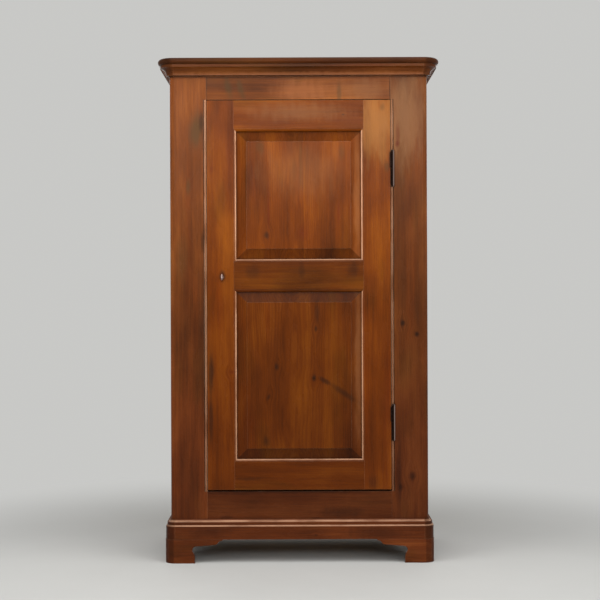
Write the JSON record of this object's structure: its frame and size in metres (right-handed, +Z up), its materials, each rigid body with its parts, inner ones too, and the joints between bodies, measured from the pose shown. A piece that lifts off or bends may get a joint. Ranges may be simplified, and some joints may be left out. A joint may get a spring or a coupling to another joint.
{
  "type": "bonnetiere cabinet",
  "caption": "Tall narrow free-standing wooden press with a single framed and panelled door, rounded front corners, moulded cornice, moulded base and bracket feet, shelved inside.",
  "frame": {"origin": "on the floor, midway across the width and midway between the front of the cap board and the back boards", "axes": "+Z up, front (door) faces -Y, +X to the viewer's right when facing the door"},
  "size_m": [1.014, 0.543, 1.81],
  "materials": {
    "frame_wood": "varnished fruitwood with straight upright grain, satin to gloss",
    "door_wood": "varnished fruitwood, satin to gloss",
    "panel_wood": "varnished fruitwood with figure and knots, satin to gloss",
    "moulding_wood": "varnished fruitwood, darker, polished edges",
    "side_wood": "varnished fruitwood, wide upright boards",
    "back_wood": "unvarnished softwood, aged, matt",
    "inner_wood": "waxed softwood, matt",
    "hinge_iron": "blackened iron, worn smooth on the barrel",
    "lock_iron": "blackened iron, filed",
    "key_steel": "worn bright steel"
  },
  "bodies": {
    "case": {"back_board_1": "back_wood", "back_board_2": "back_wood", "back_board_3": "back_wood", "base_corners": "moulding_wood", "base_front": "moulding_wood", "base_side_left": "moulding_wood", "base_side_right": "moulding_wood", "bottom_board": "inner_wood", "cornice_corners": "moulding_wood", "cornice_front": "moulding_wood", "cornice_side_left": "moulding_wood", "cornice_side_right": "moulding_wood", "door_stop_bottom": "inner_wood", "door_stop_top": "inner_wood", "foot_fore_side_left": "moulding_wood", "foot_fore_side_right": "moulding_wood", "foot_front_left": "moulding_wood", "foot_front_right": "moulding_wood", "foot_glue_blocks": "inner_wood", "foot_rear_side_left": "moulding_wood", "foot_rear_side_right": "moulding_wood", "frame_bottom_rail": "frame_wood", "frame_stile_left": "frame_wood", "frame_stile_right": "frame_wood", "frame_top_rail": "frame_wood", "hinge_lower_frame_leaf": "hinge_iron", "hinge_lower_pin": "hinge_iron", "hinge_upper_frame_leaf": "hinge_iron", "hinge_upper_pin": "hinge_iron", "lock_keeper": "lock_iron", "shelf_1": "inner_wood", "shelf_2": "inner_wood", "shelf_3": "inner_wood", "shelf_cleat_left_1": "inner_wood", "shelf_cleat_left_2": "inner_wood", "shelf_cleat_left_3": "inner_wood", "shelf_cleat_right_1": "inner_wood", "shelf_cleat_right_2": "inner_wood", "shelf_cleat_right_3": "inner_wood", "side_left": "side_wood", "side_right": "side_wood", "top_board": "moulding_wood"},
    "door": {"door_panel_lower": "panel_wood", "door_panel_upper": "panel_wood", "door_rail_bottom": "door_wood", "door_rail_middle": "door_wood", "door_rail_top": "door_wood", "door_stile_hinge": "door_wood", "door_stile_lock": "door_wood", "hinge_lower_door_leaf": "hinge_iron", "hinge_upper_door_leaf": "hinge_iron", "lock_case": "lock_iron"},
    "key": {"lock_key": "key_steel"},
    "bolt": {"lock_bolt": "lock_iron"}
  },
  "joints": [
    {"name": "door_swing", "type": "hinge", "parent": "case", "child": "door", "pos_m": [0.339, -0.2315, 0.96], "axis": [0, 0, 1], "range_deg": [0, 170]},
    {"name": "key_turn", "type": "hinge", "parent": "door", "child": "key", "pos_m": [-0.2765, -0.2285, 1.026], "axis": [0, -1, 0], "range_deg": [0, 360]},
    {"name": "bolt_slide", "type": "slide", "parent": "door", "child": "bolt", "axis": [-1, 0, 0], "range_m": [0, 0.014]}
  ],
  "couplings": [
    {"joint": "key_turn", "follows": "bolt_slide", "rad_per_m": 448.79}
  ]
}
